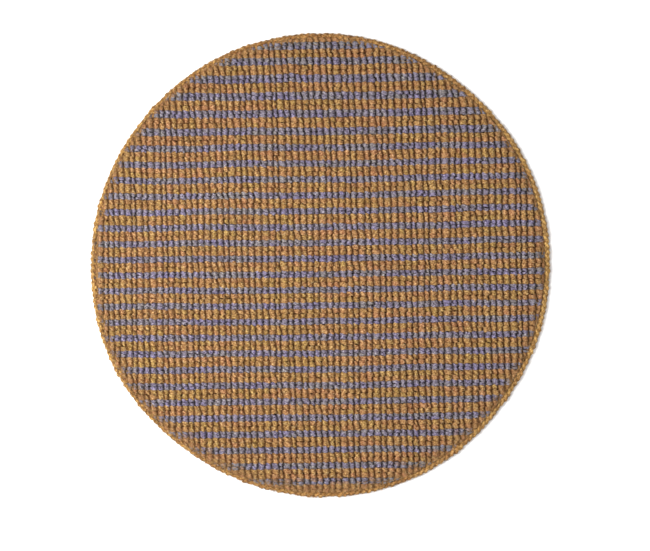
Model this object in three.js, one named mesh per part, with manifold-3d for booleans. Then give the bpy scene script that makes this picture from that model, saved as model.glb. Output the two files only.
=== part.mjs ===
import * as THREE from 'three';
import { mergeVertices } from 'three/addons/utils/BufferGeometryUtils.js';
import Module from 'manifold-3d';

// A round coir rug that lies flat on z = 0, in millimetres, with +Z up.
// A woven disc has raised ribs that run along Y, and a twisted cord is sewn round its edge.

const rugRadius = 450;
const rugHeight = 14;
const rugSides = 144;

// The hand-trimmed edge swells out of a true circle in a few low waves.
const edgeSwells = [
  { waves: 2, height: 2.1, crestAt: -75 },
  { waves: 3, height: 0.7, crestAt: 59 },
  { waves: 4, height: 1.5, crestAt: 14 },
  { waves: 5, height: 0.5, crestAt: -2 },
  { waves: 6, height: 0.5, crestAt: 26 },
  { waves: 8, height: 0.6, crestAt: -18 },
];

const cordThickness = 11;
const cordWaist = 7.4;
const cordBumps = 240;
const stepsPerBump = 3;
const cordSides = 6;
const cordGap = 0.3;

const ribPitch = 12.5;
const ribsEachSide = 38;
const firstCrest = 5.8;
const grooveHeight = 7.2;

// One rib from its groove on: the share of the pitch, and the share of the way up to the crest.
const ribSection = [
  { across: 0, up: 0 },
  { across: 0.22, up: 0.82 },
  { across: 0.5, up: 1 },
  { across: 0.78, up: 0.82 },
];

// The loom's uneven set: how far ribs drift along X, by their own place and by the place along them.
const driftAcross = { linear: 4.6, square: 11.2, cube: -7.7 };
const driftAlong = { linear: -5.7, square: -4.4, cube: -4.8 };
const driftSteps = 6;

// The field's top edge is drawn down to the cord where the two are sewn together.
const edgeDropHeight = 5;
const edgeDropWidth = 6;

const weldDistance = 1e-4;

const wasm = await Module();
wasm.setup();

function toSolid(geometry) {
  geometry.deleteAttribute('normal');
  geometry.deleteAttribute('uv');
  const welded = mergeVertices(geometry, weldDistance);
  const mesh = new wasm.Mesh({
    numProp: 3,
    vertProperties: new Float32Array(welded.attributes.position.array),
    triVerts: new Uint32Array(welded.index.array),
  });
  return new wasm.Manifold(mesh);
}

function toGeometry(solid) {
  const mesh = solid.getMesh();
  const geometry = new THREE.BufferGeometry();
  geometry.setAttribute('position', new THREE.BufferAttribute(mesh.vertProperties, 3));
  geometry.setIndex(new THREE.BufferAttribute(mesh.triVerts, 1));
  return geometry;
}

function edgeRadius(angle) {
  let radius = rugRadius;
  for (const { waves, height, crestAt } of edgeSwells) {
    radius += height * Math.cos(waves * (angle - THREE.MathUtils.degToRad(crestAt)));
  }
  return radius;
}

function drift(place, { linear, square, cube }) {
  const share = place / rugRadius;
  return linear * share + square * share ** 2 + cube * share ** 3;
}

// The section of all ribs side by side, drawn in the X and height plane.
function ribbedSection() {
  const crestOffset = firstCrest - ribPitch / 2;
  const section = new THREE.Shape();
  const left = -ribsEachSide * ribPitch + crestOffset;
  section.moveTo(left, 0);
  for (let rib = -ribsEachSide; rib < ribsEachSide; rib++) {
    for (const { across, up } of ribSection) {
      const x = (rib + across) * ribPitch + crestOffset;
      section.lineTo(x, grooveHeight + up * (rugHeight - grooveHeight));
    }
  }
  section.lineTo(left + 2 * ribsEachSide * ribPitch, grooveHeight);
  section.lineTo(left + 2 * ribsEachSide * ribPitch, 0);
  return section;
}

// A ribbed slab, longer than the rug, whose ribs lean and crowd as the loom set them.
function ribbedSlab() {
  const length = 2 * (rugRadius + cordThickness);
  const slab = new THREE.ExtrudeGeometry(ribbedSection(), {
    depth: length,
    steps: driftSteps,
    bevelEnabled: false,
  });
  slab.rotateX(Math.PI / 2);
  slab.translate(0, length / 2, 0);
  const points = slab.attributes.position;
  for (let i = 0; i < points.count; i++) {
    const x = points.getX(i);
    points.setX(i, x + drift(x, driftAcross) + drift(points.getY(i), driftAlong));
  }
  return toSolid(slab);
}

// The round column that the field is trimmed to, with a chamfer at the top of its wall.
function trimColumn() {
  const outline = [];
  for (let side = 0; side < rugSides; side++) {
    const angle = (side / rugSides) * 2 * Math.PI;
    const radius = edgeRadius(angle) - cordThickness - cordGap;
    outline.push(new THREE.Vector2(radius * Math.cos(angle), radius * Math.sin(angle)));
  }
  const column = new THREE.ExtrudeGeometry(new THREE.Shape(outline), {
    depth: rugHeight,
    steps: 1,
    bevelThickness: edgeDropHeight,
    bevelSize: edgeDropWidth,
    bevelOffset: -edgeDropWidth,
    bevelSegments: 1,
  });
  column.translate(0, 0, -edgeDropHeight);
  return toSolid(column);
}

function makeField() {
  return toGeometry(ribbedSlab().intersect(trimColumn()));
}

// A closed ring of two plies: its section is long one way and turns by half a turn for each bump.
function makeCord() {
  const steps = cordBumps * stepsPerBump;
  const ring = new THREE.TorusGeometry(rugRadius, cordThickness / 2, cordSides, steps);
  ring.deleteAttribute('normal');
  ring.deleteAttribute('uv');
  const cord = mergeVertices(ring, weldDistance);
  const points = cord.attributes.position;
  const plyRise = (cordThickness - cordWaist) / 3;
  const meanRadius = cordThickness / 2 - plyRise;
  for (let i = 0; i < points.count; i++) {
    const point = new THREE.Vector3().fromBufferAttribute(points, i);
    const along = Math.atan2(point.y, point.x);
    const around = Math.atan2(point.z, Math.hypot(point.x, point.y) - rugRadius);
    const turn = (along * cordBumps) / 2;
    const reach = meanRadius + plyRise * Math.cos(2 * (around - turn));
    const ringRadius = edgeRadius(along) - cordThickness / 2;
    const distance = ringRadius + reach * Math.cos(around);
    points.setXYZ(i, distance * Math.cos(along), distance * Math.sin(along), reach * Math.sin(around));
  }
  cord.computeBoundingBox();
  cord.translate(0, 0, -cord.boundingBox.min.z);
  return cord;
}

const fieldMaterial = new THREE.MeshStandardMaterial({ color: 0x8a6d52, roughness: 0.95, metalness: 0 });
const cordMaterial = new THREE.MeshStandardMaterial({ color: 0x9c744c, roughness: 0.9, metalness: 0 });

const rug = new THREE.Group();

const field = new THREE.Mesh(makeField(), fieldMaterial);
field.name = 'woven_field';
rug.add(field);

const cord = new THREE.Mesh(makeCord(), cordMaterial);
cord.name = 'rim_cord';
rug.add(cord);

// The middle of the rug's own box stands over the origin.
const box = new THREE.Box3().setFromObject(rug);
const middle = box.getCenter(new THREE.Vector3());
rug.position.set(-middle.x, -middle.y, 0);

export default rug;
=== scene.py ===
import math

import bpy
import numpy as np
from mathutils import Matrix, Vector


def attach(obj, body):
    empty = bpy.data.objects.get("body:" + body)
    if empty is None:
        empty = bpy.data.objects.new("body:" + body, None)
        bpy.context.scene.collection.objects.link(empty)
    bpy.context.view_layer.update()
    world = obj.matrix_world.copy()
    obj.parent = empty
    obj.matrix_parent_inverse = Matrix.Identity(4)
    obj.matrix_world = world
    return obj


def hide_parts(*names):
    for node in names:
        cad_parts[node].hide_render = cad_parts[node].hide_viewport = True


# A round coir rug, woven from thick yarn over upright ribs, with a twisted cord sewn round its edge.
# Metres throughout, +Z up, the rug lying on z = 0 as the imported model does.

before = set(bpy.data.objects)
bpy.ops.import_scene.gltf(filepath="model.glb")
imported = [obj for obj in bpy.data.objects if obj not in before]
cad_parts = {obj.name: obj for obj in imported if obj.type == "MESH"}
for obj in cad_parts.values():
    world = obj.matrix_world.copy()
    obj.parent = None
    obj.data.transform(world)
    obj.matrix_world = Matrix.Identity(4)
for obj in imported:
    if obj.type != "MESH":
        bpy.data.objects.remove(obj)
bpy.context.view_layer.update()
mm = 0.001
dice = np.random.RandomState(28)

# sizes that the whole rug shares, the same as in the solids
rug = {
    "radius": 450 * mm,
    "height": 14 * mm,
    "cordThickness": 11 * mm,
    "cordGap": 0.3 * mm,
    "cordBumps": 240,
    "ribPitch": 12.5 * mm,
    "firstCrest": 5.8 * mm,
    "lowest": 0.2 * mm,  # no fibre and no part of the cord goes lower than this
}

edgeSwells = [
    {"waves": 2, "height": 2.1 * mm, "crestAt": -75},
    {"waves": 3, "height": 0.7 * mm, "crestAt": 59},
    {"waves": 4, "height": 1.5 * mm, "crestAt": 14},
    {"waves": 5, "height": 0.5 * mm, "crestAt": -2},
    {"waves": 6, "height": 0.5 * mm, "crestAt": 26},
    {"waves": 8, "height": 0.6 * mm, "crestAt": -18},
]

driftAcross = {"linear": 4.6 * mm, "square": 11.2 * mm, "cube": -7.7 * mm}
driftAlong = {"linear": -5.7 * mm, "square": -4.4 * mm, "cube": -4.8 * mm}

# the camera looks straight down, with the rug a little left of and above the picture's middle
camera = {
    "height": 4.0,
    "sensorWidth": 36,
    "frameWidthPx": 650,
    "frameCentrePx": (325.0, 275.5),
    "rugWidthPx": 461.2,
    "rugCentrePx": (320.4, 265.1),
}


def placeCamera(spec):
    pxSize = 2 * rug["radius"] / spec["rugWidthPx"]
    x = (spec["frameCentrePx"][0] - spec["rugCentrePx"][0]) * pxSize
    y = (spec["rugCentrePx"][1] - spec["frameCentrePx"][1]) * pxSize
    bpy.ops.object.camera_add(location=(x, y, spec["height"]), rotation=(0, 0, 0))
    made = bpy.context.object
    made.name = "studioCamera"
    made.data.sensor_width = spec["sensorWidth"]
    aboveCord = spec["height"] - rug["cordThickness"] / 2
    made.data.lens = spec["sensorWidth"] * aboveCord / (spec["frameWidthPx"] * pxSize)
    bpy.context.scene.camera = made
    print("rug: camera placed, lens", round(made.data.lens, 1))


placeCamera(camera)


# how the loom laid the weave out

def poly(share, terms):
    return terms["linear"] * share + terms["square"] * share ** 2 + terms["cube"] * share ** 3


def edgeRadius(angle):
    radius = np.full(np.shape(angle), rug["radius"])
    for swell in edgeSwells:
        turned = angle - math.radians(swell["crestAt"])
        radius = radius + swell["height"] * np.cos(swell["waves"] * turned)
    return radius


def fieldRadius(x, y):
    return edgeRadius(np.arctan2(y, x)) - rug["cordThickness"] - rug["cordGap"]


weaveSet = {
    "repeats": 28,
    "firstPairAt": 428.4 * mm,
    "pitch": 31.1 * mm,
    "topPitch": 30.5 * mm,
    "loosePitch": 34 * mm,
    "looseRepeats": (1, 4),
    "lavenderShare": 0.395,
    "topMore": 0.08,  # how much more of the top repeat is lavender
    "topRepeats": 7,  # repeats over which that fades out
    "yarnsPastEdge": 2,
    "beat": {"from": 297 * mm, "length": 624 * mm, "rise": -2.1 * mm},  # one long wave in the rows' places
    "ribJitter": 0.1,  # share of the rib pitch by which a whole rib is off its place
    "ribsPastEdge": 4,
}

rowBow = {"linear": 5.8 * mm, "square": 2.9 * mm, "cube": -0.8 * mm}

# slow waves in the weave: metres from crest to crest along X and Y, and how far they push
wanders = [
    {"wave": (0.43, 0.52), "rise": 0.5 * mm, "slide": 0.6 * mm, "start": 0.3},
    {"wave": (-0.29, 0.44), "rise": 0.4 * mm, "slide": -0.5 * mm, "start": 2.1},
    {"wave": (0.195, -0.37), "rise": 0.3 * mm, "slide": 0.4 * mm, "start": 4.4},
    {"wave": (0.33, 0.21), "rise": -0.3 * mm, "slide": 0.4 * mm, "start": 1.2},
    {"wave": (-0.135, -0.26), "rise": 0.2 * mm, "slide": 0.3 * mm, "start": 5.3},
]

# places where a row was pushed up out of its line while it was woven
slips = [
    {"at": (-58 * mm, 375 * mm), "reach": (15 * mm, 20 * mm), "rise": 3.2 * mm},
    {"at": (-12 * mm, 336 * mm), "reach": (24 * mm, 18 * mm), "rise": 2.6 * mm},
    {"at": (270 * mm, 120 * mm), "reach": (120 * mm, 70 * mm), "rise": 3.0 * mm},
    {"at": (-170 * mm, 80 * mm), "reach": (110 * mm, 110 * mm), "rise": 2.4 * mm},
]


def slipped(x, y):
    total = 0
    for slip in slips:
        away = ((x - slip["at"][0]) / slip["reach"][0]) ** 2 + ((y - slip["at"][1]) / slip["reach"][1]) ** 2
        total = total + slip["rise"] * np.exp(-away)
    return total


def wander(x, y, key):
    total = 0
    for wave in wanders:
        turns = x / wave["wave"][0] + y / wave["wave"][1]
        total = total + wave[key] * np.sin(2 * math.pi * turns + wave["start"])
    return total


def layYarns(spec):
    pitches = []
    for i in range(spec["repeats"] - 1):
        loose = spec["looseRepeats"][0] <= i <= spec["looseRepeats"][1]
        pitches.append(spec["topPitch"] if i == 0 else spec["loosePitch"] if loose else spec["pitch"])
    pairs = spec["firstPairAt"] - np.concatenate([[0], np.cumsum(pitches)])
    beat = spec["beat"]
    down = (beat["from"] - pairs) / beat["length"]
    pairs = pairs + beat["rise"] * np.sin(2 * math.pi * down) * (down > 0) * (down < 1)
    pitches = list(-np.diff(pairs))
    nearTop = np.clip(1 - np.arange(spec["repeats"]) / spec["topRepeats"], 0, 1)
    widths = np.array(pitches[:1] + pitches) * (spec["lavenderShare"] + spec["topMore"] * nearTop) / 2
    yarns = []
    for i, pair in enumerate(pairs):
        yarns.append({"dye": "lavender", "y": pair + widths[i] / 2, "width": widths[i], "otherDye": 1})
        yarns.append({"dye": "lavender", "y": pair - widths[i] / 2, "width": widths[i], "otherDye": -1})
    for i in range(len(pitches)):
        top = pairs[i] - widths[i]
        width = (top - pairs[i + 1] - widths[i + 1]) / 2
        yarns.append({"dye": "ochre", "y": top - width / 2, "width": width, "otherDye": 1})
        yarns.append({"dye": "ochre", "y": top - width * 1.5, "width": width, "otherDye": -1})
    ochreWidth = spec["pitch"] * (1 - spec["lavenderShare"]) / 2
    for i in range(spec["yarnsPastEdge"]):
        above = pairs[0] + widths[0] + ochreWidth * (i + 0.5)
        below = pairs[-1] - widths[-1] - ochreWidth * (i + 0.5)
        yarns.append({"dye": "ochre", "y": above, "width": ochreWidth, "otherDye": -1})
        yarns.append({"dye": "ochre", "y": below, "width": ochreWidth, "otherDye": 1})
    yarns.sort(key=lambda yarn: -yarn["y"])
    for i, yarn in enumerate(yarns):
        yarn["hand"] = 1 if i % 2 else -1  # neighbours are twisted opposite ways
    return yarns


# one stitch of yarn over one rib: X runs along the yarn in rib pitches, Y across it in half widths,
# and Z from the underside at 0 to the crest at 1

stitch = {
    "section": [
        {"across": 0.0, "up": 1.0},
        {"across": 0.46, "up": 0.99},
        {"across": 0.82, "up": 0.96},
        {"across": 1.0, "up": 0.86},
        {"across": 0.84, "up": 0.0},
    ],
    "rings": [
        {"along": -0.5, "wide": 1.02, "tall": 0.36},
        {"along": -0.36, "wide": 1.02, "tall": 0.66},
        {"along": -0.23, "wide": 1.05, "tall": 0.94},
        {"along": 0.0, "wide": 1.1, "tall": 1.0},
        {"along": 0.23, "wide": 1.05, "tall": 0.94},
        {"along": 0.36, "wide": 1.02, "tall": 0.66},
    ],
    "levelDecimals": 4,  # points whose heights agree to this many decimals are level
    "sameRing": 0.01,
}


def selectPoints(piece, chosen):
    bpy.ops.object.mode_set(mode="EDIT")
    bpy.ops.mesh.select_mode(type="VERT")
    bpy.ops.mesh.select_all(action="DESELECT")
    bpy.ops.object.mode_set(mode="OBJECT")
    for v in piece.data.vertices:
        v.select = v.index in chosen
    bpy.ops.object.mode_set(mode="EDIT")


def modelStitch(spec):
    first = spec["rings"][0]
    bpy.ops.object.select_all(action="DESELECT")
    bpy.ops.mesh.primitive_circle_add(vertices=2 * len(spec["section"]) - 1, radius=1)
    made = bpy.context.object
    made.name = "oneStitch"
    # the circle is pushed into the yarn's section: the top point, then a pair of points at a time
    downwards = sorted(made.data.vertices, key=lambda v: -round(v.co.y, spec["levelDecimals"]))
    levels = [(v.index, abs(v.co.x), v.co.y) for v in downwards]
    pairs = [levels[:1]] + [levels[i:i + 2] for i in range(1, len(levels), 2)]
    for pair, place in zip(pairs, spec["section"]):
        _, across, up = pair[0]
        selectPoints(made, [point[0] for point in pair])
        if len(pair) == 2:
            bpy.ops.transform.resize(value=(place["across"] / across, 1, 1), center_override=(0, 0, 0))
        bpy.ops.transform.translate(value=(0, place["up"] - up, 0))
        bpy.ops.object.mode_set(mode="OBJECT")
    # stood upright across the yarn, and drawn out into one ring after another
    made.rotation_euler = (math.pi / 2, 0, math.pi / 2)
    made.location = (first["along"], 0, 0)
    bpy.ops.object.transform_apply(location=True, rotation=True)
    bpy.ops.object.mode_set(mode="EDIT")
    bpy.ops.mesh.select_all(action="SELECT")
    bpy.ops.transform.resize(value=(1, first["wide"], first["tall"]), center_override=(0, 0, 0))
    for before, ring in zip(spec["rings"], spec["rings"][1:]):
        step = ring["along"] - before["along"]
        grow = (1, ring["wide"] / before["wide"], ring["tall"] / before["tall"])
        bpy.ops.mesh.extrude_edges_move(TRANSFORM_OT_translate={"value": (step, 0, 0)})
        bpy.ops.transform.resize(value=grow, center_override=(0, 0, 0))
    bpy.ops.object.mode_set(mode="OBJECT")
    return made


def pointsOf(piece):
    co = np.zeros(len(piece.data.vertices) * 3)
    piece.data.vertices.foreach_get("co", co)
    return co.reshape(-1, 3)


def readRings(piece, spec):
    co = pointsOf(piece)
    rings = []
    for ring in spec["rings"]:
        points = co[np.abs(co[:, 0] - ring["along"]) < spec["sameRing"]]
        turn = np.arctan2(points[:, 1], points[:, 2] - points[:, 2].mean())
        rings.append(points[np.argsort(turn)])
    return np.array(rings)


stitchPiece = modelStitch(stitch)
stitchRings = readRings(stitchPiece, stitch)
bpy.data.objects.remove(stitchPiece)
print("rug: one stitch modelled,", stitchRings.shape[0], "rings of", stitchRings.shape[1], "points")


# the yarns: the stitch laid over every rib, each a little different

yarnMake = {
    "lavender": {"crest": 13.4 * mm, "plyDepth": 0.7 * mm, "lay": 24 * mm},
    "ochre": {"crest": 13.9 * mm, "plyDepth": 0.8 * mm, "lay": 27 * mm},
    "underside": 0.3 * mm,
    "flatBelow": 0.1,  # share of its height under which a stitch is flat and smooth
    "fewestRings": 3,  # a yarn that would be shorter isn't laid
    "rough": 0.5 * mm,
    "shadeOfStitch": 0.2,  # how far the dye differs from stitch to stitch
    "shadeOfYarn": 0.13,  # and drifts along the yarn
    "shadeRun": 7,  # over this many stitches
    "plyShade": 0.4,  # how far the groove between the plies takes on the grooves' painted shade
    "crestJitter": 0.035,  # how uneven the stitches are in height
    "widthJitter": 0.07,  # and in width
    "grooveJitter": 0.085,  # and in the place of the grooves between them
    "sway": 0.6 * mm,  # and how far they lie off the yarn's line
    "stitchLean": 0.2,  # how far a stitch leans back from its upper edge to its lower one
    "edgeClear": 0.3 * mm,
    "edgeBite": 2.0 * mm,  # a ring that doesn't reach this far into the field is left out
    "drawOut": 5 * mm,  # and the yarn's end is drawn out by up to this much instead
    "endRing": 2,  # the ring of the stitch that a yarn ends on
    "edgeDropWidth": 16 * mm,  # the band inside the rim where the yarns come down to the cord
    "edgeDropShare": 0.13,
    "edgeLean": 0.5,  # share of the room over the cord's inner shoulder that the yarn ends fill
    "leanMore": 0.4,  # and how much more of it on the left than on the right
    "dipFrom": 11.5 * mm,  # height at which the painted shade of the grooves starts
    "dipTo": 5.5 * mm,
    "dipLessAside": 0.8,  # how much less painted shade there is where the yarn lies against one of the other dye
    "evenAside": 0.3,  # how far the stitches and the grooves are evened out there
    "evenHeight": 9 * mm,
    "dipBelow": 0.3,  # the same painted shade on the underside
    "edgeDust": 30 * mm,  # width of the dustier band inside the rim
    "moreDust": 1.3,  # and how much stronger it is at the bottom of the rug
    "mattedWidth": 20 * mm,  # the band at the bottom of the rug where the ribs are matted together
    "mattedEven": 0.35,
    "wornWidth": 36 * mm,  # where undyed fibre shows in some stitches at the bottom of the rug
    "wornShare": 0.25,
    "wornRise": 2,  # how fast that sets in towards the rim
    "shadeEast": 0.17,  # how much painted shade, the grooves' colour, the stitches inside the rim have on the right
    "shadeWest": 0.8,  # and the yarn ends on the left
    "westWidth": 8 * mm,
    "shadeTop": 0.25,  # and the stitches at the top and bottom of the rug
    "shadeBottom": 0.1,
    "shadeFrom": 100 * mm,  # starting this far above and below the middle
    "turnedEnd": (-8 * mm, 7 * mm),  # how far in from its end a dyed yarn hides under the undyed one
    "turnedMore": 5 * mm,  # and how much farther where the rim runs aslant
    "turnedLeft": 3 * mm,  # and on the left
}

ribCount = 2 * (int(rug["radius"] / rug["ribPitch"]) + weaveSet["ribsPastEdge"]) + 1
ribOffsets = weaveSet["ribJitter"] * dice.standard_normal(ribCount + 1)


def spread(values, size):
    return 1 + size * dice.standard_normal(values)


def unevenDye(count, spec):
    run = spec["shadeRun"]
    drift = np.convolve(dice.standard_normal(count + run - 1), np.ones(run) / math.sqrt(run), "valid")
    shade = 0.5 + spec["shadeOfStitch"] * dice.standard_normal(count) + spec["shadeOfYarn"] * drift
    return np.clip(shade, 0, 1)


def nearEdge(pastEdge, width):
    # rises from 0 to 1 over a band of this width that ends at the edge
    return np.clip((pastEdge + width) / width, 0, 1)


def layOne(yarn, shape, spec):
    make = spec[yarn["dye"]]
    ringCount, sides = shape.shape[:2]
    rib = np.repeat(np.arange(ribCount), ringCount)
    kind = np.tile(np.arange(ringCount), ribCount)
    tallness = spread(ribCount, spec["crestJitter"])
    wideness = spread(ribCount, spec["widthJitter"])
    grooveShift = ribOffsets + spec["grooveJitter"] * dice.standard_normal(ribCount + 1)
    sway = spec["sway"] * dice.standard_normal(ribCount)
    tone = dice.random_sample(ribCount)
    shade = unevenDye(ribCount, spec)
    phase = dice.random_sample() * 2 * math.pi

    # where each ring lies along the yarn, between the grooves on both sides of its rib
    at = shape[kind, 0, 0]
    share = at + 0.5
    calm = np.sin(math.pi * share) ** 2
    along = rib - ribCount // 2 + at + grooveShift[rib] * (1 - share) + grooveShift[rib + 1] * share
    near = rug["firstCrest"] + along * rug["ribPitch"]
    y0 = yarn["y"]
    x = near + poly(near / rug["radius"], driftAcross) + poly(y0 / rug["radius"], driftAlong)
    x = x + wander(x, y0, "slide")
    y = y0 + poly(x / rug["radius"], rowBow) + wander(x, y0, "rise") + sway[rib] * calm
    y = y + slipped(x, y)

    # only the stretch that reaches into the trimmed field is kept
    halfWidth = yarn["width"] / 2
    inner = np.hypot(x, np.maximum(np.abs(y) - halfWidth, 0))
    overCord = (spec["edgeLean"] - spec["leanMore"] * x / inner) * rug["cordThickness"] / 2
    inside = np.flatnonzero(inner < fieldRadius(x, y) + overCord - spec["edgeBite"])
    if len(inside) < spec["fewestRings"]:
        return None
    cut = slice(inside[0], inside[-1] + 1)
    x, y, rib, kind, calm, overCord = x[cut], y[cut], rib[cut], kind[cut], calm[cut], overCord[cut]
    kind[[0, -1]] = spec["endRing"]
    for end, side in ((0, -1), (-1, 1)):  # the yarn's two ends are drawn out to the cord
        rim = float(fieldRadius(x[end], y[end])) + overCord[end]
        reach = math.sqrt(max(rim ** 2 - max(abs(y[end]) - halfWidth / 2, 0) ** 2, 0))
        x[end] = side * np.clip(reach, side * x[end], side * x[end] + spec["drawOut"])

    heading = np.arctan2(np.gradient(y), np.gradient(x))[:, None]
    distance = np.concatenate([[0], np.cumsum(np.hypot(np.diff(x), np.diff(y)))])
    wide = halfWidth * (1 + (wideness[rib] - 1) * calm)
    crest = make["crest"] * (1 + (tallness[rib] - 1) * calm)
    across = shape[kind, :, 1] * wide[:, None]
    up = spec["underside"] + shape[kind, :, 2] * (crest - spec["underside"])[:, None]
    top = shape[kind, :, 2] > spec["flatBelow"] * shape[kind, :, 2].max(axis=1)[:, None]
    towardsOther = np.clip(shape[kind, :, 1] * yarn["otherDye"], 0, 1) ** 2 * top
    up = up + spec["evenAside"] * towardsOther * (spec["evenHeight"] - up)

    # the two plies wind round the yarn, and its surface is rough, but for the flat underside
    middle = shape[kind, :, 2].mean(axis=1)[:, None]
    around = np.arctan2(shape[kind, :, 1], shape[kind, :, 2] - middle)
    turn = 2 * math.pi * distance[:, None] / make["lay"] + phase
    ply = np.cos(2 * (around - yarn["hand"] * turn))
    out = (make["plyDepth"] * ply + spec["rough"] * dice.standard_normal(ply.shape)) * top
    across = across + out * np.sin(around)
    up = up + out * np.cos(around)

    # the yarn is set down in place, and its ends are fitted to the inner shoulder of the cord
    px = x[:, None] - across * (np.sin(heading) + spec["stitchLean"])
    py = y[:, None] + across * np.cos(heading)
    radius = np.hypot(px, py)
    cordMiddle = rug["cordThickness"] / 2
    aboveMiddle = np.clip(up - cordMiddle, 0, cordMiddle)
    shoulder = cordMiddle - np.sqrt(cordMiddle ** 2 - aboveMiddle ** 2)
    lean = spec["edgeLean"] - spec["leanMore"] * px / radius
    limit = fieldRadius(px, py) - spec["edgeClear"] + lean * shoulder
    squeeze = np.minimum(1, limit / radius)
    pastEdge = radius - limit
    drop = nearEdge(pastEdge, spec["edgeDropWidth"]) ** 2
    # painted shade: the lower a point of the stitch lies, the more of the grooves' dark colour it gets
    dip = np.clip((spec["dipFrom"] - up) / (spec["dipFrom"] - spec["dipTo"]), 0, 1)
    dip = np.where(top, dip * (1 - spec["dipLessAside"] * towardsOther), spec["dipBelow"])
    up = up * (1 - spec["edgeDropShare"] * drop)
    southern = np.clip(-py / radius, 0, 1) ** 3
    matted = nearEdge(pastEdge, spec["mattedWidth"]) * southern * top
    up = up + spec["mattedEven"] * matted * (spec["evenHeight"] - up)

    # dyed yarn hides under undyed at its ends, the rim's stitches differ in wear by side, and painted shade
    # darkens the rim on the right, the yarn ends on the left and the top and bottom of the rug
    aslant = np.abs(np.sin(2 * np.arctan2(y, x)))
    hidden = dice.uniform(*spec["turnedEnd"], 2)[(x > 0).astype(int)] + spec["turnedMore"] * aslant
    hidden = hidden - spec["turnedLeft"] * np.sign(x)
    fromEnd = np.where(x > 0, distance[-1] - distance, distance)
    turned = np.clip((hidden - fromEnd) / spec["turnedEnd"][1] + 0.5, 0, 1)[:, None]
    bottom = 1 + spec["moreDust"] * southern
    rimNear = nearEdge(pastEdge, spec["wornWidth"])
    worn = (tone[rib] < spec["wornShare"])[:, None] * np.clip(spec["wornRise"] * rimNear * southern, 0, 1)
    # painted shade inside the rim on the right, at the yarn ends on the left and towards the top and bottom
    dip = dip + spec["shadeEast"] * rimNear * np.clip(px / radius, 0, 1) ** 3
    endNear = nearEdge(pastEdge, spec["westWidth"])
    dip = dip + spec["shadeWest"] * endNear * np.clip(-px / radius, 0, 1) ** 3
    farUp = np.clip((np.abs(py) - spec["shadeFrom"]) / (rug["radius"] - spec["shadeFrom"]), 0, 1)
    dip = dip + farUp * np.where(py > 0, spec["shadeTop"], spec["shadeBottom"])
    # painted shade in the groove between the plies
    plyDip = spec["plyShade"] * np.clip(-ply, 0, 1) ** 2
    girth = np.arange(sides + 1) / sides * (halfWidth + rug["height"]) * 2
    return {
        "points": np.stack([px * squeeze, py * squeeze, up], axis=2),
        "tone": np.broadcast_to(tone[rib][:, None], up.shape),
        "shade": np.broadcast_to(shade[rib][:, None], up.shape),
        "dip": np.maximum(dip, plyDip) * (1 - spec["mattedEven"] * matted),
        "dust": nearEdge(pastEdge, spec["edgeDust"]) * bottom,
        "turned": np.maximum(turned, worn),
        "distance": distance,
        "girth": yarn["hand"] * girth,
    }


# the marks that the finishes read; the third is painted shade, and on the cord the tone also holds painted
# light and shade
markNames = ("tone", "shade", "dip", "dust", "turned")


def joinTubes(name, tubes, material):
    sides = tubes[0]["points"].shape[1]
    counts = [len(tube["points"]) for tube in tubes]
    starts = np.concatenate([[0], np.cumsum(counts)[:-1]]) * sides
    side = np.arange(sides)[None, :]
    nextSide = (side + 1) % sides
    quads, uvs, caps = [], [], []
    for tube, count, start in zip(tubes, counts, starts):
        ring = np.arange(count - 1)[:, None] * sides + start
        corners = [ring + side, ring + sides + side, ring + sides + nextSide, ring + nextSide]
        quads.append(np.stack(corners, 2))
        u0, v0 = np.broadcast_arrays(tube["distance"][:-1, None], tube["girth"][None, :-1])
        u1, v1 = np.broadcast_arrays(tube["distance"][1:, None], tube["girth"][None, 1:])
        uvCorners = [(u0, v0), (u1, v0), (u1, v1), (u0, v1)]
        uvs.append(np.stack([np.stack(corner, 2) for corner in uvCorners], 2).reshape(-1, 2))
        caps.append(start + np.arange(sides))
        caps.append(start + (count - 1) * sides + np.arange(sides)[::-1])
    quads = np.concatenate([q.reshape(-1, 4) for q in quads])
    caps = np.array(caps)
    uvs = np.concatenate(uvs + [np.zeros((caps.size, 2))])
    verts = np.concatenate([tube["points"].reshape(-1, 3) for tube in tubes])
    marks = {key: np.concatenate([tube[key].ravel() for tube in tubes]) for key in markNames}
    return buildPiece(name, verts, [quads, caps], material, marks, uvs)


def buildPiece(name, verts, faceSets, material, marks, uvs=None):
    mesh = bpy.data.meshes.new(name)
    corners = np.concatenate([faces.ravel() for faces in faceSets])
    sizes = np.concatenate([np.full(len(faces), faces.shape[1]) for faces in faceSets])
    mesh.vertices.add(len(verts))
    mesh.vertices.foreach_set("co", verts.astype(np.float32).ravel())
    mesh.loops.add(len(corners))
    mesh.loops.foreach_set("vertex_index", corners.astype(np.int32))
    mesh.polygons.add(len(sizes))
    mesh.polygons.foreach_set("loop_start", (np.cumsum(sizes) - sizes).astype(np.int32))
    mesh.update(calc_edges=True)
    if uvs is not None:
        layer = mesh.uv_layers.new(name="yarnMap")
        layer.data.foreach_set("uv", uvs.astype(np.float32).ravel())
    addMarks(mesh, marks)
    mesh.shade_smooth()
    mesh.materials.append(material)
    piece = bpy.data.objects.new(name, mesh)
    bpy.context.scene.collection.objects.link(piece)
    triangles = int((sizes - 2).sum())
    print("rug:", name, triangles, "triangles")
    return piece


def addMarks(mesh, marks):
    for key, values in marks.items():
        attribute = mesh.attributes.new(key, "FLOAT", "POINT")
        attribute.data.foreach_set("value", values.astype(np.float32))


# node helpers for the finishes

noiseRoughness = 0.6


def newMaterial(name):
    material = bpy.data.materials.new(name)
    material.use_nodes = True
    nodes = material.node_tree.nodes
    shader = next(n for n in nodes if n.type == "BSDF_PRINCIPLED")
    return material, nodes, material.node_tree.links, shader


def rampOf(nodes, links, factor, stops):
    ramp = nodes.new("ShaderNodeValToRGB")
    elements = ramp.color_ramp.elements
    while len(elements) < len(stops):
        elements.new(0.5)
    for element, (place, colour) in zip(elements, stops):
        element.position = place
        element.color = (*colour, 1)
    links.new(factor, ramp.inputs["Fac"])
    return ramp.outputs["Color"]


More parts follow.
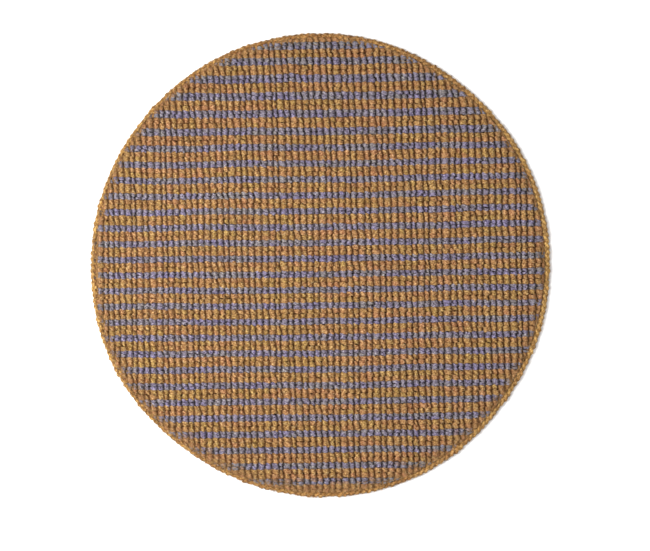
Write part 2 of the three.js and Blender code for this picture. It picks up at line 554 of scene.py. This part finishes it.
def noiseOf(nodes, links, vector, scale, detail):
    noise = nodes.new("ShaderNodeTexNoise")
    noise.inputs["Scale"].default_value = scale
    noise.inputs["Detail"].default_value = detail
    noise.inputs["Roughness"].default_value = noiseRoughness
    links.new(vector, noise.inputs["Vector"])
    return noise.outputs["Fac"]


def scaled(nodes, links, value, times, plus):
    node = nodes.new("ShaderNodeMath")
    node.operation = "MULTIPLY_ADD"
    links.new(value, node.inputs[0])
    node.inputs[1].default_value = times
    if isinstance(plus, (int, float)):
        node.inputs[2].default_value = plus
    else:
        links.new(plus, node.inputs[2])
    return node.outputs[0]


def mixed(nodes, links, factor, first, second):
    node = nodes.new("ShaderNodeMix")
    node.data_type = "RGBA"
    node.clamp_factor = True
    links.new(factor, node.inputs["Factor"])
    for socket, colour in (("A", first), ("B", second)):
        target = next(s for s in node.inputs if s.name == socket and s.type == "RGBA")
        if isinstance(colour, tuple):
            target.default_value = (*colour, 1)
        else:
            links.new(colour, target)
    return next(s for s in node.outputs if s.type == "RGBA")


def markOf(nodes, name):
    node = nodes.new("ShaderNodeAttribute")
    node.attribute_name = name
    return node.outputs["Fac"]


def raiseBumps(nodes, links, shader, height, depth, strength=1.0):
    bump = nodes.new("ShaderNodeBump")
    bump.inputs["Strength"].default_value = strength
    bump.inputs["Distance"].default_value = depth
    links.new(height, bump.inputs["Height"])
    links.new(bump.outputs["Normal"], shader.inputs["Normal"])


def setGloss(shader, roughness, gloss):
    shader.inputs["Roughness"].default_value = roughness
    shader.inputs["Specular IOR Level"].default_value = gloss


# each coir has two sets of colours from dark to light, and every stitch is dyed somewhere between them
finishes = {
    "lavender": {
        "dyes": {
            "blue": [
                (0.0, (0.042, 0.032, 0.053)),
                (0.35, (0.124, 0.101, 0.198)),
                (0.65, (0.220, 0.185, 0.327)),
                (1.0, (0.432, 0.383, 0.515)),
            ],
            "grey": [
                (0.0, (0.052, 0.039, 0.044)),
                (0.35, (0.152, 0.128, 0.143)),
                (0.65, (0.262, 0.232, 0.243)),
                (1.0, (0.475, 0.437, 0.405)),
            ],
        },
        # painted shade: the dark colour mixed into the grooves
        "groove": (0.036, 0.028, 0.022),
        "dust": (0.185, 0.197, 0.195),
        "gloss": 0.2,
    },
    "ochre": {
        "dyes": {
            "golden": [
                (0.0, (0.084, 0.041, 0.012)),
                (0.35, (0.228, 0.125, 0.031)),
                (0.65, (0.388, 0.230, 0.060)),
                (1.0, (0.650, 0.444, 0.175)),
            ],
            "russet": [
                (0.0, (0.105, 0.034, 0.012)),
                (0.35, (0.258, 0.105, 0.040)),
                (0.65, (0.415, 0.196, 0.080)),
                (1.0, (0.665, 0.390, 0.205)),
            ],
        },
        # painted shade: the dark colour mixed into the grooves
        "groove": (0.136, 0.049, 0.018),
        "dust": (0.318, 0.157, 0.070),
        "gloss": 0.2,
    },
    "cord": {
        "dyes": {
            "golden": [
                (0.0, (0.170, 0.067, 0.015)),
                (0.5, (0.480, 0.260, 0.072)),
                (1.0, (0.690, 0.452, 0.158)),
            ],
            "russet": [
                (0.0, (0.115, 0.043, 0.014)),
                (0.5, (0.325, 0.149, 0.047)),
                (1.0, (0.500, 0.280, 0.105)),
            ],
        },
        # painted shade: the dark colour mixed into the cord's waists and its inner side on the right
        "groove": (0.168, 0.075, 0.023),
        "dust": (0.302, 0.182, 0.080),
        "gloss": 0.05,
    },
}

fibre = {
    "fibreScale": (90, 1500, 1),  # noise cells to a metre along the yarn and round it
    "strandScale": (240, 480, 1),
    "cordStrandScale": (100, 440, 1),
    "lean": 0.5,  # radians that the fibres turn round the yarn
    "detail": 3,
    "patchScale": 480,
    "toneShare": 0.12,  # how far each of these four moves the colour between dark and light
    "strandShare": 4.4,
    "patchShare": 2.2,
    "fibreShare": 1.3,
    "driftScale": 14,  # the dye also drifts slowly over the whole rug
    "driftDetail": 2,
    "driftShare": 2.0,
    # how far the painted shade moves the colour towards the grooves' dark colour
    "grooveShare": 0.85,
    "dustShare": 0.3,
    "bump": 0.9,
    "bumpDepth": 0.8 * mm,
    "roughness": 0.85,
}


def alongYarn(nodes, links, scale):
    uv = nodes.new("ShaderNodeUVMap")
    uv.uv_map = "yarnMap"
    turned = nodes.new("ShaderNodeMapping")
    turned.inputs["Rotation"].default_value = (0, 0, fibre["lean"])
    links.new(uv.outputs["UV"], turned.inputs["Vector"])
    stretched = nodes.new("ShaderNodeMapping")
    stretched.inputs["Scale"].default_value = scale
    links.new(turned.outputs["Vector"], stretched.inputs["Vector"])
    return noiseOf(nodes, links, stretched.outputs["Vector"], 1, fibre["detail"])


def coirMaterial(name, finish, strandScale):
    material, nodes, links, shader = newMaterial(name)
    fibres = alongYarn(nodes, links, fibre["fibreScale"])
    strands = alongYarn(nodes, links, strandScale)
    place = nodes.new("ShaderNodeTexCoord")
    patches = noiseOf(nodes, links, place.outputs["Object"], fibre["patchScale"], fibre["detail"])

    # stitch, strand, patch and fibre each move the colour along the ramp, around its middle
    shares = [fibre[key] for key in ("toneShare", "strandShare", "patchShare", "fibreShare")]
    total = scaled(nodes, links, markOf(nodes, "tone"), fibre["toneShare"], 0.5 * (1 - sum(shares)))
    total = scaled(nodes, links, strands, fibre["strandShare"], total)
    total = scaled(nodes, links, patches, fibre["patchShare"], total)
    total = scaled(nodes, links, fibres, fibre["fibreShare"], total)
    first, second = (rampOf(nodes, links, total, stops) for stops in finish["dyes"].values())
    drift = noiseOf(nodes, links, place.outputs["Object"], fibre["driftScale"], fibre["driftDetail"])
    dye = scaled(nodes, links, drift, fibre["driftShare"], -0.5 * fibre["driftShare"])
    dye = scaled(nodes, links, markOf(nodes, "shade"), 1.0, dye)
    colour = mixed(nodes, links, dye, first, second)
    undyed = rampOf(nodes, links, total, finishes["ochre"]["dyes"]["russet"])
    colour = mixed(nodes, links, markOf(nodes, "turned"), colour, undyed)
    dusty = scaled(nodes, links, markOf(nodes, "dust"), fibre["dustShare"], 0.0)
    colour = mixed(nodes, links, dusty, colour, finish["dust"])
    # painted shade: the grooves' dark colour is mixed in as far as the painted shade mark says
    shaded = scaled(nodes, links, markOf(nodes, "dip"), fibre["grooveShare"], 0.0)
    colour = mixed(nodes, links, shaded, colour, finish["groove"])
    links.new(colour, shader.inputs["Base Color"])
    height = scaled(nodes, links, strands, 1.0, fibres)
    raiseBumps(nodes, links, shader, height, fibre["bumpDepth"], fibre["bump"])
    setGloss(shader, fibre["roughness"], finish["gloss"])
    return material


materials = {}
for dye, finish in finishes.items():
    strandScale = fibre["cordStrandScale"] if dye == "cord" else fibre["strandScale"]
    materials[dye] = coirMaterial(dye + "Coir", finish, strandScale)

yarns = layYarns(weaveSet)
tubes = {"lavender": [], "ochre": []}
for yarn in yarns:
    laid = layOne(yarn, stitchRings, yarnMake)
    if laid:
        tubes[yarn["dye"]].append(laid)

for dye, laid in tubes.items():
    half = len(laid) // 2
    for part, some in (("upper", laid[:half]), ("lower", laid[half:])):
        piece = joinTubes(f"{dye}_yarn_{part}", some, materials[dye])
        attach(piece, "root")


# the ground under the yarns, which closes what shows between them, painted near-black low down as the
# shadow there

ground = {
    "low": 1.5 * mm,
    "high": 3.6 * mm,
    "sides": 240,
    "reach": 1.5 * mm,  # how far it runs out under the cord
    "seamHigh": 8.4 * mm,  # the sewing that fills the seam to the cord
    "seamWide": 2.5 * mm,
    "seamSlope": 5 * mm,
    "fibreScale": 500,
    "fibreDetail": 4,
    "bumpDepth": 0.8 * mm,
    "roughness": 0.95,
    "gloss": 0.1,
    # painted shadow: the near-black colour of the ground low down between the yarns
    "deepShadow": [(0.3, (0.025, 0.013, 0.010)), (0.5, (0.055, 0.029, 0.017)), (0.7, (0.126, 0.066, 0.029))],
    "seam": [(0.3, (0.092, 0.040, 0.013)), (0.5, (0.244, 0.126, 0.046)), (0.7, (0.395, 0.244, 0.109))],
}


def makeGround(spec):
    bpy.ops.object.select_all(action="DESELECT")
    bpy.ops.mesh.primitive_circle_add(
        vertices=spec["sides"],
        radius=1,
        fill_type="NGON",
        location=(0, 0, 0),
    )
    made = bpy.context.object
    made.name = "weave_ground"
    for v in made.data.vertices:
        radius = float(fieldRadius(v.co.x, v.co.y)) + spec["reach"]
        v.co = (v.co.x * radius, v.co.y * radius, spec["low"])
    bpy.ops.object.mode_set(mode="EDIT")
    bpy.ops.mesh.select_all(action="SELECT")
    seamRise = spec["seamHigh"] - spec["low"]
    bpy.ops.mesh.extrude_region_move(TRANSFORM_OT_translate={"value": (0, 0, seamRise)})
    bpy.ops.mesh.inset(thickness=spec["seamWide"] + spec["reach"])
    bpy.ops.mesh.inset(thickness=spec["seamSlope"], depth=spec["high"] - spec["seamHigh"])
    bpy.ops.mesh.select_all(action="SELECT")
    bpy.ops.mesh.normals_make_consistent(inside=False)
    bpy.ops.object.mode_set(mode="OBJECT")
    return made


def groundMaterial(spec):
    material, nodes, links, shader = newMaterial("groundCoir")
    place = nodes.new("ShaderNodeTexCoord")
    fibres = noiseOf(nodes, links, place.outputs["Object"], spec["fibreScale"], spec["fibreDetail"])
    parts = nodes.new("ShaderNodeSeparateXYZ")
    links.new(place.outputs["Object"], parts.inputs[0])
    rise = spec["seamHigh"] - spec["high"]
    height = scaled(nodes, links, parts.outputs["Z"], 1 / rise, -spec["high"] / rise)
    # low down the ground is painted shadow, rising to the sewing's colour at the seam
    deepShadow, seam = (rampOf(nodes, links, fibres, spec[key]) for key in ("deepShadow", "seam"))
    links.new(mixed(nodes, links, height, deepShadow, seam), shader.inputs["Base Color"])
    raiseBumps(nodes, links, shader, fibres, spec["bumpDepth"])
    setGloss(shader, spec["roughness"], spec["gloss"])
    return material


groundPiece = makeGround(ground)
groundPiece.data.materials.append(groundMaterial(ground))
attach(groundPiece, "root")
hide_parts("woven_field")
print("rug:", groundPiece.name, "made with", len(groundPiece.data.polygons), "faces")


# the twisted cord round the edge

cordMake = {
    "stepsPerBump": 7,
    "sides": 16,
    "plyRadius": 3.6 * mm,
    "inward": 0.3 * mm,  # how far the sewing draws the cord against the weave
    "rough": 0.45 * mm,
    "lumps": 0.11,  # how unevenly thick the bumps are
    "waistShade": 0.5,  # how much painted shade, the grooves' dark colour, its waists have
    "brownTop": 0.5,  # how much browner the cord is at the rug's top and bottom than at its sides
    "paintedLightEast": 2.0,  # painted light: how much lighter the cord is on the right
    "paintedShadeTop": 0.9,  # and painted shade: how much darker at the top
    "innerShade": 0.4,  # how much painted shade, the grooves' colour, its inner side has on the right
    "sameDistance": 0.1 * mm,
    "mergeDistance": 0.01 * mm,
}


def stepOf(angle, count):
    # the nearest of count equal steps round a circle, and the exact angle of that step
    step = np.rint(angle / (2 * math.pi) * count).astype(int) % count
    exact = 2 * math.pi * step / count
    return step, np.where(exact > math.pi, exact - 2 * math.pi, exact)


def makeCord(spec):
    middle = rug["cordThickness"] / 2
    bpy.ops.object.select_all(action="DESELECT")
    bpy.ops.mesh.primitive_circle_add(
        vertices=spec["sides"],
        radius=middle,
        location=(rug["radius"], 0, 0),
        rotation=(math.pi / 2, 0, 0),
    )
    made = bpy.context.object
    made.name = "edge_cord"
    bpy.ops.object.transform_apply(location=True, rotation=True)
    bpy.ops.object.mode_set(mode="EDIT")
    bpy.ops.mesh.select_all(action="SELECT")
    bpy.ops.mesh.spin(steps=rug["cordBumps"], angle=2 * math.pi, center=(0, 0, 0), axis=(0, 0, 1))
    bpy.ops.mesh.select_all(action="SELECT")
    bpy.ops.mesh.remove_doubles(threshold=spec["mergeDistance"])
    bpy.ops.mesh.normals_make_consistent(inside=False)
    bpy.ops.mesh.select_all(action="DESELECT")
    bpy.ops.mesh.select_mode(type="EDGE")
    bpy.ops.object.mode_set(mode="OBJECT")
    # the edges that run round the rug are cut into the steps of the twist
    for edge in made.data.edges:
        start, end = (made.data.vertices[i].co for i in edge.vertices)
        sameRadius = abs(start.xy.length - end.xy.length) < spec["sameDistance"]
        edge.select = sameRadius and abs(start.z - end.z) < spec["sameDistance"]
    bpy.ops.object.mode_set(mode="EDIT")
    bpy.ops.mesh.subdivide(number_cuts=spec["stepsPerBump"] - 1)
    bpy.ops.object.mode_set(mode="OBJECT")

    # the operators give the points in any order, so each is known by its steps round the rug and the cord
    co = pointsOf(made)
    steps = rug["cordBumps"] * spec["stepsPerBump"]
    ring, along = stepOf(np.arctan2(co[:, 1], co[:, 0]), steps)
    across = np.hypot(co[:, 0], co[:, 1]) - rug["radius"]
    side, around = stepOf(np.arctan2(co[:, 2], across), spec["sides"])

    # the round ring is wound into two plies that bulge and thin out unevenly
    offset = middle - spec["plyRadius"]
    lean = around - along * rug["cordBumps"] / 2
    reach = offset * np.abs(np.cos(lean)) + np.sqrt(spec["plyRadius"] ** 2 - (offset * np.sin(lean)) ** 2)
    bumpAt = (along / (2 * math.pi) + 0.5) * rug["cordBumps"]
    bumps = np.arange(rug["cordBumps"])
    lumps = spread(rug["cordBumps"], spec["lumps"])
    reach = reach * np.interp(bumpAt, bumps, lumps, period=rug["cordBumps"])
    reach = reach + spec["rough"] * dice.standard_normal((steps, spec["sides"]))[ring, side]
    distance = edgeRadius(along) - middle - spec["inward"] + reach * np.cos(around)
    z = np.maximum(middle + reach * np.sin(around), rug["lowest"])
    co = np.stack([distance * np.cos(along), distance * np.sin(along), z], axis=1)
    made.data.vertices.foreach_set("co", co.ravel())
    made.data.update()

    # its dye and shade differ from bump to bump and from side to side of the rug; it also gets painted
    # light on the right, and painted shade at the top, in its waists and on its inner side on the right
    waist = np.clip((middle - reach) / (middle - spec["plyRadius"]), 0, 1)
    tone = dice.random_sample(rug["cordBumps"])
    browner = np.interp(bumpAt, bumps, tone[::-1] - 0.5, period=rug["cordBumps"])
    # painted light on the right and painted shade at the top, carried by the tone mark
    lighter = spec["paintedLightEast"] * np.clip(np.cos(along), 0, 1) ** 2
    lighter = lighter - spec["paintedShadeTop"] * np.clip(np.sin(along), 0, 1) ** 2
    # painted shade on the cord's inner side on the right
    inner = spec["innerShade"] * np.clip(-np.cos(around), 0, 1) * np.clip(np.cos(along), 0, 1) ** 4
    marks = {
        "tone": np.interp(bumpAt, bumps, tone, period=rug["cordBumps"]) + lighter,
        "shade": np.clip(0.5 + browner - spec["brownTop"] * np.cos(2 * along), 0, 1),
        "dip": spec["waistShade"] * waist + inner,
        "dust": np.zeros(len(co)),
        "turned": np.zeros(len(co)),
    }
    addMarks(made.data, marks)
    mapCord(made, along, around)
    made.data.shade_smooth()

    # the same points ring by ring, for the fibres that stand on them
    grid = np.zeros((steps, spec["sides"], 3))
    grid[ring, side] = co
    return made, grid


def mapCord(piece, along, around):
    corners = np.zeros(len(piece.data.loops), np.int32)
    piece.data.loops.foreach_get("vertex_index", corners)
    u = along[corners].reshape(-1, 4)
    v = around[corners].reshape(-1, 4)
    for angle in (u, v):  # faces across the seam keep their corners together
        angle += 2 * math.pi * (angle.max(axis=1)[:, None] - angle > math.pi)
    uvs = np.stack([u.ravel() * rug["radius"], v.ravel() * rug["cordThickness"] / 2], 1)
    layer = piece.data.uv_layers.new(name="yarnMap")
    layer.data.foreach_set("uv", uvs.astype(np.float32).ravel())


cordPiece, cordGrid = makeCord(cordMake)
cordPiece.data.materials.append(materials["cord"])
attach(cordPiece, "root")
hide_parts("rim_cord")
print("rug:", cordPiece.name, 2 * len(cordPiece.data.polygons), "triangles")


# loose fibres that stand out of the yarn and the cord, each a thin bent spindle of six triangles

hairSets = {
    "lavender": {
        "count": 11500,
        "stops": [(0.0, (0.084, 0.059, 0.076)), (0.5, (0.235, 0.202, 0.244)), (1.0, (0.487, 0.454, 0.437))],
    },
    "ochre": {
        "count": 18000,
        "stops": [(0.0, (0.134, 0.050, 0.017)), (0.5, (0.353, 0.210, 0.076)), (1.0, (0.655, 0.504, 0.269))],
    },
    "cord": {
        "count": 8500,
        "stops": [(0.0, (0.118, 0.048, 0.018)), (0.5, (0.365, 0.202, 0.070)), (1.0, (0.620, 0.420, 0.180))],
    },
    "rim": {
        "count": 5000,
        "stops": [(0.0, (0.118, 0.048, 0.018)), (0.5, (0.340, 0.180, 0.064)), (1.0, (0.560, 0.350, 0.140))],
    },
}

hair = {
    "length": (5 * mm, 15 * mm),
    "thickness": (0.20 * mm, 0.42 * mm),
    "turn": 0.55,  # radians off the yarn's own direction
    "bow": 0.9 * mm,
    "stickOut": 0.12,  # share of fibres whose one end stands well clear
    "stickHeight": 3 * mm,
    "rootSinks": 0.5,  # shares of that height
    "middleRises": 0.4,
    "tipDrawsIn": 0.3,
    "lift": 0.1 * mm,
    "sides": 3,
    "roughness": 0.7,
    "gloss": 0.3,
    "from": 6 * mm,  # no fibres stand lower than this on the weave
    "fromOnCord": 2.5 * mm,
    "facingUp": 0.25,  # nor where the surface faces less upwards than this
    "facingUpOnCord": -0.4,
    "rimWidth": 13 * mm,  # the band over the yarn ends where fibres lie along the rim
    "fewerAway": 0.75,  # how many fewer of those there are away from the bottom of the rug
}

# the corners of a fibre's triangles: 0 is its root, 1 to 3 stand round its middle, and 4 is its tip
spindle = np.array([[0, 2, 1], [0, 3, 2], [0, 1, 3], [4, 1, 2], [4, 2, 3], [4, 3, 1]])
tiny = 1e-12


def unit(vectors):
    return vectors / (np.linalg.norm(vectors, axis=2)[:, :, None] + tiny)


def surfaceOf(grids, lowest, facingUp):
    # place, direction along the tube and outward normal at each of the tubes' upper points
    found = {"place": [], "along": [], "normal": []}
    for grid in grids:
        along = np.gradient(grid, axis=0)
        across = np.roll(grid, -1, axis=1) - np.roll(grid, 1, axis=1)
        normal = unit(np.cross(along, across))
        along = unit(along)
        upper = (normal[:, :, 2] > facingUp) & (grid[:, :, 2] > lowest)
        found["place"].append(grid[upper])
        found["along"].append(along[upper])
        found["normal"].append(normal[upper])
    return {key: np.concatenate(values) for key, values in found.items()}


def rimOf(surfaces, spec):
    # the yarn ends next to the cord, with the fibres turned to lie along the rim
    joined = {key: np.concatenate([surface[key] for surface in surfaces]) for key in surfaces[0]}
    x, y = joined["place"][:, 0], joined["place"][:, 1]
    radius = np.hypot(x, y)
    chance = 1 - spec["fewerAway"] * np.clip(1 + y / radius, 0, 1)
    chosen = (radius > fieldRadius(x, y) - spec["rimWidth"]) & (dice.random_sample(len(x)) < chance)
    joined["along"] = np.stack([-y / radius, x / radius, 0 * x], 1)
    return {key: values[chosen] for key, values in joined.items()}


def growHair(name, surface, count, spec, material):
    pick = dice.randint(0, len(surface["place"]), count)
    place, along, normal = (surface[key][pick] for key in ("place", "along", "normal"))
    side = np.cross(normal, along)
    turn = spec["turn"] * dice.standard_normal(count)[:, None]
    way = along * np.cos(turn) + side * np.sin(turn)
    flat = np.cross(normal, way)
    length = dice.uniform(*spec["length"], count)[:, None]
    thick = dice.uniform(*spec["thickness"], count)[:, None]
    bow = spec["bow"] * dice.standard_normal(count)[:, None]
    stick = (dice.random_sample(count) < spec["stickOut"])[:, None] * dice.random_sample(count)[:, None]
    lean = stick * spec["stickHeight"] * (length / spec["length"][1])
    middle = place + normal * (spec["lift"] + thick + spec["middleRises"] * lean)
    root = middle - way * length / 2 - normal * (thick + spec["rootSinks"] * lean)
    tip = middle + way * (length / 2 - spec["tipDrawsIn"] * lean) + normal * lean
    middle = middle + flat * bow
    ring = []
    for i in range(spec["sides"]):
        angle = 2 * math.pi * i / spec["sides"]
        ring.append(middle + (flat * math.cos(angle) + normal * math.sin(angle)) * thick)
    verts = np.stack([root, *ring, tip], axis=1)
    verts[:, :, 2] = np.maximum(verts[:, :, 2], rug["lowest"])
    pointCount = verts.shape[1]
    faces = (np.arange(count)[:, None, None] * pointCount + spindle[None]).reshape(-1, 3)
    marks = {"tone": np.repeat(dice.random_sample(count), pointCount)}
    return buildPiece(name, verts.reshape(-1, 3), [faces], material, marks)


def hairMaterial(name, stops, spec):
    material, nodes, links, shader = newMaterial(name)
    colour = rampOf(nodes, links, markOf(nodes, "tone"), stops)
    links.new(colour, shader.inputs["Base Color"])
    setGloss(shader, spec["roughness"], spec["gloss"])
    return material


grids = {dye: [tube["points"] for tube in laid] for dye, laid in tubes.items()}
surfaces = {dye: surfaceOf(laid, hair["from"], hair["facingUp"]) for dye, laid in grids.items()}
surfaces["cord"] = surfaceOf([cordGrid], hair["fromOnCord"], hair["facingUpOnCord"])
surfaces["rim"] = rimOf([surfaces["lavender"], surfaces["ochre"]], hair)
for kind, hairSet in hairSets.items():
    material = hairMaterial(kind + "Fibre", hairSet["stops"], hair)
    piece = growHair(kind + "_fibres", surfaces[kind], hairSet["count"], hair, material)
    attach(piece, "root")


# plain pale floor and plain soft studio light

studio = {
    "floorSize": 30.0,
    "floorColour": (0.93, 0.93, 0.93, 1),
    "floorRoughness": 0.9,
    "skyColour": (1, 1, 1, 1),
    "skyStrength": 0.75,
    "keySize": 1.5,
    "keyPlace": (-1.15, 0.0, 1.8),
    "keyPower": 71,
}


def makeStudio(spec):
    bpy.ops.object.select_all(action="DESELECT")
    bpy.ops.mesh.primitive_plane_add(size=spec["floorSize"], location=(0, 0, 0))
    floor = bpy.context.object
    floor.name = "studioFloor"
    material, *_, shader = newMaterial("floorPaint")
    shader.inputs["Base Color"].default_value = spec["floorColour"]
    shader.inputs["Roughness"].default_value = spec["floorRoughness"]
    floor.data.materials.append(material)
    bpy.ops.object.light_add(type="AREA", location=spec["keyPlace"])
    key = bpy.context.object
    key.name = "softKey"
    key.data.size = spec["keySize"]
    key.data.energy = spec["keyPower"]
    key.rotation_euler = Vector(spec["keyPlace"]).to_track_quat("Z", "Y").to_euler()  # towards the rug
    world = bpy.data.worlds.new("studioAir")
    world.use_nodes = True
    sky = world.node_tree.nodes["Background"]
    sky.inputs["Color"].default_value = spec["skyColour"]
    sky.inputs["Strength"].default_value = spec["skyStrength"]
    bpy.context.scene.world = world
    bpy.context.scene.view_settings.view_transform = "Standard"
    bpy.context.scene.view_settings.look = "None"
    print("rug: studio lit")


makeStudio(studio)
